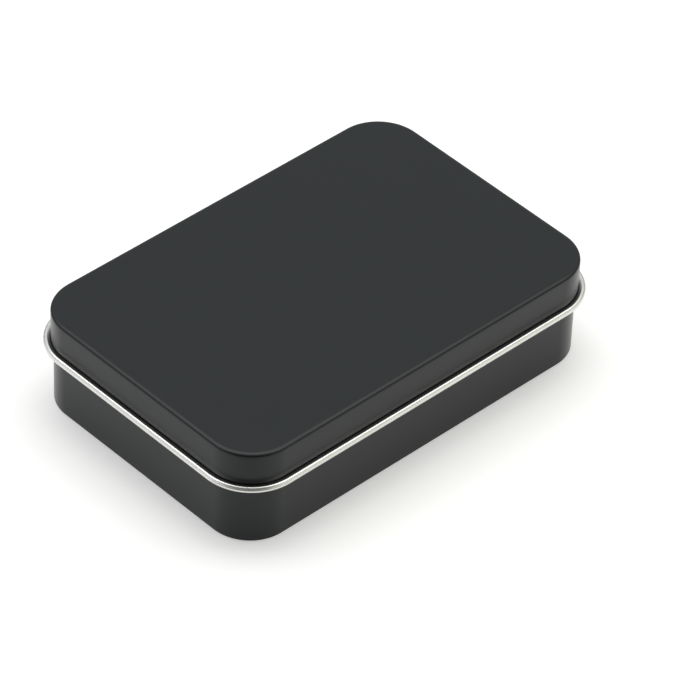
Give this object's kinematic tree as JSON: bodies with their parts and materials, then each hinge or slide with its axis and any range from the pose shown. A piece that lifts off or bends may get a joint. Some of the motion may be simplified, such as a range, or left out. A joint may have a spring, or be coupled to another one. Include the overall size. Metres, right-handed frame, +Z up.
{
  "type": "hinged card tin",
  "caption": "Rectangular rounded-corner tin case with a hinged lid, rolled bright bead and black outer coating, sized for a deck of cards.",
  "frame": {"origin": "middle of the base's bottom face, on the surface that the tin stands on", "axes": "+X along the length, +Y from the front to the hinge side at the back, +Z up"},
  "size_m": [0.107, 0.073, 0.025],
  "materials": {
    "black_coating": "satin",
    "hinge_wire": "drawn wire"
  },
  "bodies": {
    "base": {"base_shell": "black_coating", "hinge_wire_left": "hinge_wire", "hinge_wire_right": "hinge_wire"},
    "lid": {"lid_shell": "black_coating"}
  },
  "joints": [
    {"name": "lid_hinge", "type": "hinge", "parent": "base", "child": "lid", "pos_m": [0, 0.03572, 0.01635], "axis": [-1, 0, 0], "range_deg": [0, 180]}
  ]
}
